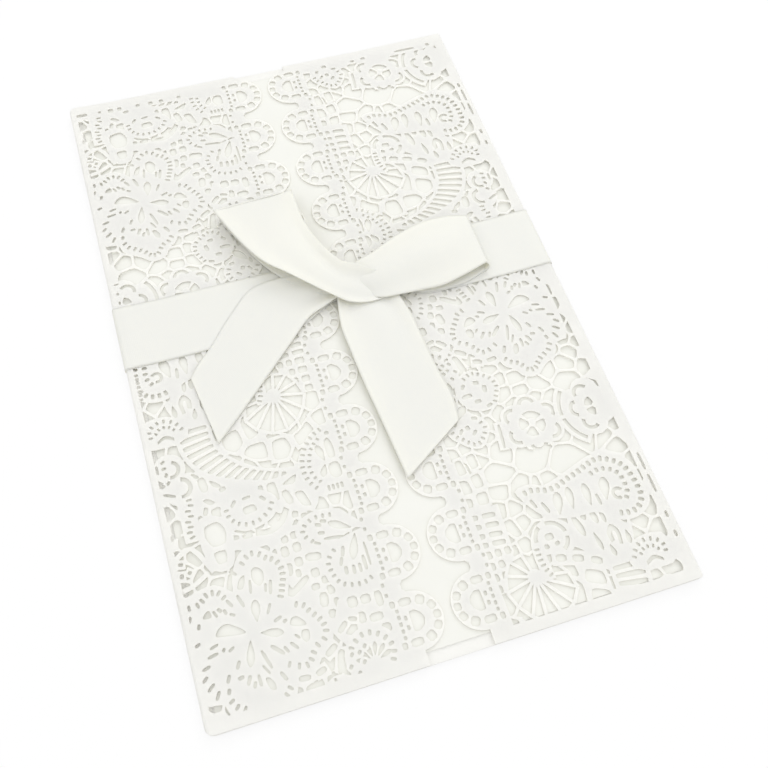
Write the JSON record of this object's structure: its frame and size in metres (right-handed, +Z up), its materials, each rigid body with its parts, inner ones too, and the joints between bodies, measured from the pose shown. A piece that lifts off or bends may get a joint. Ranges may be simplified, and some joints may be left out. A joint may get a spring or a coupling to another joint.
{
  "type": "laser cut wedding invitation",
  "caption": "Gate-fold wedding invitation of laser cut lace card with scalloped flaps, a plain card inside, tied shut with a satin ribbon bow.",
  "frame": {"origin": "centre of the invitation's outline, on the surface it lies on, under the ribbon at the back", "axes": "+X across the card to the right flap's fold, +Y up the card to its top edge, +Z up out of the front"},
  "size_m": [0.1206, 0.185, 0.0089],
  "materials": {
    "lace_card": "matt, faint pearl",
    "inner_card": "matt",
    "satin_ribbon": "soft satin"
  },
  "bodies": {
    "root": {"lace_wrap": "lace_card", "inner_card": "inner_card", "ribbon": "satin_ribbon"}
  },
  "joints": []
}
